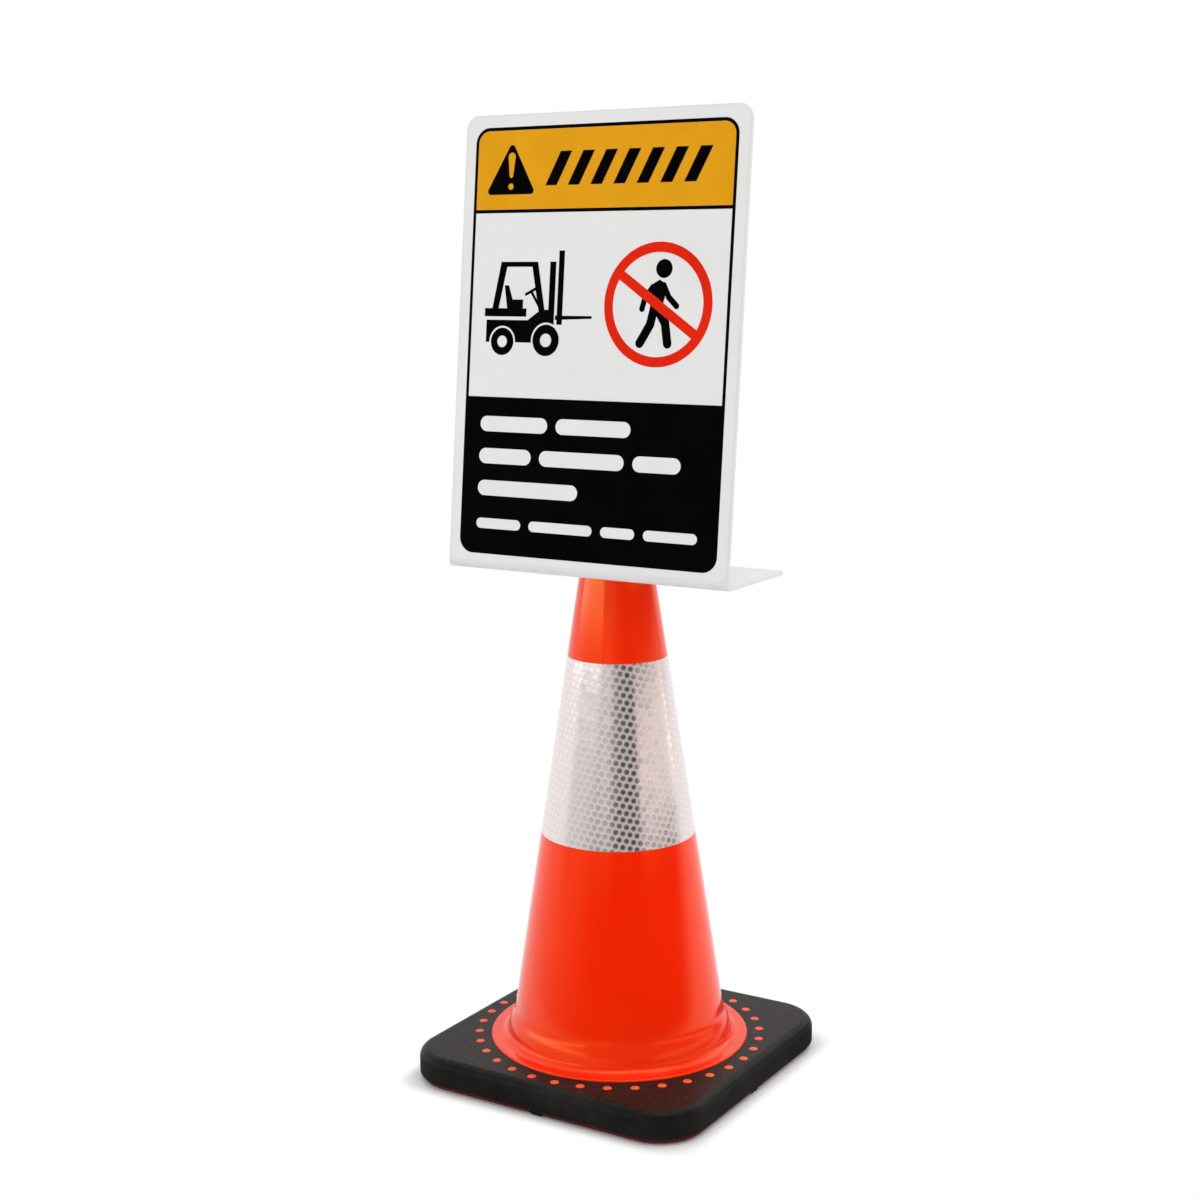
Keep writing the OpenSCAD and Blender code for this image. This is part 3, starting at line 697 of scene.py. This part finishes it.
def makeCone(spec):
    flangeTop = baseTop + spec["flangeT"]
    bandTop = spec["footZ"] - spec["bandDrop"]
    boreLow = coneTip - spec["boreL"]
    shoulder = boreLow - spec["shoulder"]
    flangeR = wallR(baseTop) + spec["bandStep"] + spec["flangeW"]
    band = {height: wallR(height) + spec["bandStep"]
            for height in (lockTop, baseTop, flangeTop, bandTop)}
    collarLow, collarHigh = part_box("reflective_collar")
    recessLow = collarLow.z - spec["recessClear"]
    recessTop = collarHigh.z + spec["recessClear"]
    bm = spinProfile([
        (wallR(lockTop) - spec["wall"], lockTop), (band[lockTop], lockTop),
        (band[baseTop], baseTop), (flangeR, baseTop), (flangeR, flangeTop),
        (band[flangeTop], flangeTop), (band[bandTop], bandTop), (spec["footR"], spec["footZ"]),
        (wallR(recessLow), recessLow), (wallR(recessLow) - spec["recess"], recessLow),
        (wallR(recessTop) - spec["recess"], recessTop), (wallR(recessTop), recessTop),
        (spec["tipR"], coneTip), (spec["boreR"], coneTip), (spec["boreR"], boreLow),
        (wallR(shoulder) - spec["wall"], shoulder)], spec["steps"])
    for radius, height, width, segments in (
            (flangeR, flangeTop, spec["flangeEdge"], spec["rimSteps"]),
            (band[flangeTop], flangeTop, spec["fillet"], spec["edgeSteps"]),
            (band[bandTop], bandTop, spec["bandEdge"], spec["edgeSteps"]),
            (spec["footR"], spec["footZ"], spec["footEdge"], spec["edgeSteps"]),
            (spec["tipR"], coneTip, spec["rim"], spec["rimSteps"]),
            (spec["boreR"], coneTip, spec["boreEdge"], spec["boreSteps"])):
        bevel(bm, ringEdges(bm, radius, height), width, segments)
    cone = makeObject(bm, "coneShell")
    finishPiece(cone, "coneVinyl", "cone", "cone_shell")
    keepFlat(cone)


makeCone(coneShell)

# lock ring on its square plate under the base, and the plugs that rise from it
# the pads stand in the plate's gaps
footPads = {"width": 0.004, "length": 0.011, "edge": 0.0014, "edgeSteps": 4, "sunk": 0.0005}
lockRing = {
    "bodyR": 0.122, "corner": 0.037, "cornerSteps": 24, "edge": 0.0006, "edgeSteps": 3,
    "padClear": 0.0002, "overrun": 0.001, "sides": 160,
}
lockPlugs = {"count": 34, "radius": 0.00375, "edge": 0.0008, "edgeSteps": 3, "sides": 28}


def makeLockRing(spec):
    low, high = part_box("lock_ring")
    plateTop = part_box("base_slab")[0].z
    bm = roundedSlab(low, high, plateTop, spec["corner"], spec["cornerSteps"])
    bevel(bm, rimEdges(bm, low.z), spec["edge"], spec["edgeSteps"])
    ring = makeObject(bm, "lockRing")
    carve(ring, [roundTool("ringBody", spec["bodyR"], spec["bodyR"], (low.z + plateTop) / 2, high.z,
                           spec["sides"], still)], "UNION")
    inner = wallR(lockTop) - coneShell["wall"]
    cutLow, cutHigh = low.z - spec["overrun"], high.z + spec["overrun"]
    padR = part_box("foot_pads")[1].x
    gapLength = footPads["length"] + 2 * spec["padClear"]
    gaps = blockPerSide(padR - footPads["width"] - spec["padClear"], padR + spec["overrun"],
                        gapLength, cutLow, plateTop + spec["overrun"])
    carve(ring, [roundTool("ringBore", inner, inner, cutLow, cutHigh, spec["sides"], still),
                 makeObject(gaps, "padGaps")])
    finishPiece(ring, "plateVinylPaintedShade", "cone", "lock_ring")


def makePlugs(spec):
    low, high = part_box("lock_plugs")
    circleR = high.x - spec["radius"]
    middle = (low.z + high.z) / 2
    bm = bmesh.new()
    for index in range(spec["count"]):
        turn = Matrix.Rotation(math.tau * index / spec["count"], 4, "Z")
        bmesh.ops.create_cone(bm, cap_ends=True, segments=spec["sides"], radius1=spec["radius"],
                              radius2=spec["radius"], depth=high.z - low.z,
                              matrix=turn @ Matrix.Translation((circleR, 0, middle)))
    bevel(bm, rimEdges(bm, high.z), spec["edge"], spec["edgeSteps"])
    finishPiece(makeObject(bm, "lockPlugs"), "lockVinyl", "cone", "lock_plugs")


makeLockRing(lockRing)
makePlugs(lockPlugs)

# square weighted base with round corners, bored for the cone, the ring and the plugs
baseSlab = {
    "corner": 0.040, "cornerSteps": 24, "topEdge": 0.008, "topSteps": 10,
    "lowEdge": 0.003, "lowSteps": 6, "skirtClear": 0.0002, "ringClear": 0.0002, "plugClear": 0.0001,
    "overrun": 0.001, "boreSides": 160,
}


def makeBase(spec):
    low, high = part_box("base_slab")
    bm = roundedSlab(low, high, high.z, spec["corner"], spec["cornerSteps"])
    bevel(bm, rimEdges(bm, high.z), spec["topEdge"], spec["topSteps"])
    bevel(bm, rimEdges(bm, low.z), spec["lowEdge"], spec["lowSteps"])
    slab = makeObject(bm, "baseSlab")
    cutLow, cutHigh = low.z - spec["overrun"], high.z + spec["overrun"]
    seat = [wallR(height) + coneShell["bandStep"] + spec["skirtClear"]
            for height in (cutLow, cutHigh)]
    recess = lockRing["bodyR"] + spec["ringClear"]
    plugPlace = Matrix.Translation((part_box("lock_plugs")[1].x - lockPlugs["radius"], 0, 0))
    plugPlaces = [Matrix.Rotation(math.tau * index / lockPlugs["count"], 4, "Z") @ plugPlace
                  for index in range(lockPlugs["count"])]
    bore = lockPlugs["radius"] + spec["plugClear"]
    carve(slab, [
        roundTool("coneSeat", seat[0], seat[1], cutLow, cutHigh, spec["boreSides"], still),
        roundTool("ringRecess", recess, recess, cutLow, lockTop, spec["boreSides"], still),
        roundTool("plugBores", bore, bore, cutLow, cutHigh, lockPlugs["sides"], plugPlaces),
    ])
    finishPiece(slab, "baseRubber", "cone", "base_slab")
    keepFlat(slab)


def makePads(spec):
    low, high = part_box("foot_pads")
    top = high.z + spec["sunk"]
    bm = blockPerSide(high.x - spec["width"], high.x, spec["length"], low.z, top)
    upper = set(rimEdges(bm, top))
    sides = [edge for edge in bm.edges if edge not in upper]
    bevel(bm, sides, spec["edge"], spec["edgeSteps"])
    finishPiece(makeObject(bm, "footPads"), "padRubber", "cone", "foot_pads")


makeBase(baseSlab)
makePads(footPads)

# reflective collar, a flat sheet wrapped round the cone and lapped at the back
collar = {
    "clear": 0.0001, "thick": 0.0005, "edge": 0.00015, "edgeSteps": 2, "steps": 192,
    "lapHalf": 4.0, "lapRise": 0.0003, "seamNear": 1e-4, "flatStart": 1.0,
}


def makeCollar(spec):
    low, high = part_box("reflective_collar")
    inner = [wallR(height) - coneShell["recess"] + spec["clear"] for height in (low.z, high.z)]
    outer = [radius + spec["thick"] for radius in inner]
    bm = spinProfile([(inner[0], low.z), (outer[0], low.z), (outer[1], high.z), (inner[1], high.z)],
                     spec["steps"])
    reach = (outer[0] + outer[1]) / 2
    lap = []
    for face in bm.faces:
        middle = face.calc_center_median()
        behind = abs(math.degrees(math.atan2(middle.x, middle.y)))
        if behind < spec["lapHalf"] and abs(middle.xy.length - reach) < spec["thick"] / 4:
            lap.append(face)
    raised = bmesh.ops.extrude_face_region(bm, geom=lap)
    bmesh.ops.translate(bm, verts=movedVerts(raised), vec=(0, spec["lapRise"], 0))
    for radius, height in zip(outer, (low.z, high.z)):
        bevel(bm, ringEdges(bm, radius, height), spec["edge"], spec["edgeSteps"])
    slope = math.atan(wallTaper)
    apex = low.z + outer[0] / wallTaper
    flat = bm.loops.layers.uv.new("flatSheet")
    for face in bm.faces:
        side = face.calc_center_median().x
        for loop in face.loops:
            spot = loop.vert.co
            turn = math.atan2(spot.x, -spot.y)
            if abs(turn) > math.pi - spec["seamNear"]:
                turn = math.copysign(math.pi, side)
            swing = turn * math.sin(slope)
            slant = (apex - spot.z) / math.cos(slope)
            loop[flat].uv = (spec["flatStart"] + slant * math.sin(swing),
                             spec["flatStart"] - slant * math.cos(swing))
    sleeve = makeObject(bm, "reflectiveCollar")
    finishPiece(sleeve, "sheeting", "cone", "reflective_collar")
    keepFlat(sleeve)


makeCollar(collar)

# sign: one sheet with a level shelf, a bend and a face that leans back
signPlate = {
    "thick": 0.003, "bendR": 0.002, "lean": 6.0, "bendSteps": 14,
    "faceCorner": 0.011, "faceSteps": 12, "shelfCorner": 0.003, "shelfSteps": 6,
    "holeR": 0.030, "holeSides": 96,
    "edge": 0.00035, "edgeSteps": 2, "edgeAngle": 50.0,
}


def makePlate(spec):
    low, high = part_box("sign_plate")
    outerR = spec["bendR"] + spec["thick"]
    lean = math.radians(spec["lean"])
    up = Vector((0, math.sin(lean), math.cos(lean)))
    front = Vector((0, -math.cos(lean), math.sin(lean)))
    bendMiddle = Vector((0, low.y + outerR, low.z + outerR))
    faceFoot = bendMiddle + front * outerR
    faceRun = (high.z - faceFoot.z) / up.z
    bm = bmesh.new()
    ends = [bm.verts.new((x, high.y, low.z)) for x in (low.x, high.x)]
    edge = bm.edges.new(ends)
    shelf = bmesh.ops.extrude_edge_only(bm, edges=[edge])
    bmesh.ops.translate(bm, verts=movedVerts(shelf), vec=(0, bendMiddle.y - high.y, 0))
    lead = [item for item in shelf["geom"] if isinstance(item, bmesh.types.BMEdge)]
    bend = bmesh.ops.spin(bm, geom=movedVerts(shelf) + lead, cent=bendMiddle, axis=(-1, 0, 0),
                          angle=math.pi / 2 + lean, steps=spec["bendSteps"])
    lead = [item for item in bend["geom_last"] if isinstance(item, bmesh.types.BMEdge)]
    face = bmesh.ops.extrude_edge_only(bm, edges=lead)
    bmesh.ops.translate(bm, verts=movedVerts(face), vec=up * faceRun)
    roundCorners(bm, movedVerts(face), spec["faceCorner"], spec["faceSteps"])
    roundCorners(bm, ends, spec["shelfCorner"], spec["shelfSteps"])
    bmesh.ops.recalc_face_normals(bm, faces=bm.faces)
    bmesh.ops.solidify(bm, geom=bm.faces[:], thickness=spec["thick"])
    plate = makeObject(bm, "signPlate")
    carve(plate, [roundTool("shelfHole", spec["holeR"], spec["holeR"], low.z - spec["thick"],
                            low.z + 2 * spec["thick"], spec["holeSides"], still)])
    finishPiece(plate, "whiteSheet", "sign", "sign_plate")
    softened = plate.modifiers.new("softEdge", "BEVEL")
    softened.width = spec["edge"]
    softened.segments = spec["edgeSteps"]
    softened.limit_method = "ANGLE"
    softened.angle_limit = math.radians(spec["edgeAngle"])
    softened.harden_normals = True


makePlate(signPlate)

# printed film and inks keep their own solids
printedFinishes = {
    "label_film": "whiteFilm", "header_field": "amberInk", "message_field": "blackInk",
    "border_line": "blackInk", "warning_triangle": "blackInk", "header_stripes": "blackInk",
    "forklift_symbol": "blackInk", "pedestrian_symbol": "blackInk", "prohibition_ring": "redInk",
    "message_bars": "whiteFilm",
}
inkSpread = {"weld": 2e-6, "reach": 0.00008}  # closes the hairline to the border
for nodeName, finishName in printedFinishes.items():
    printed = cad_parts[nodeName].data
    printed.materials.clear()
    printed.materials.append(finishes[finishName])
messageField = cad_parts["message_field"]
messageField.modifiers.new("inkWeld", "WELD").merge_threshold = inkSpread["weld"]
spread = messageField.modifiers.new("inkSpread", "DISPLACE")
spread.mid_level = 0.0
spread.strength = inkSpread["reach"]
print("print coloured:", len(printedFinishes), "layers")
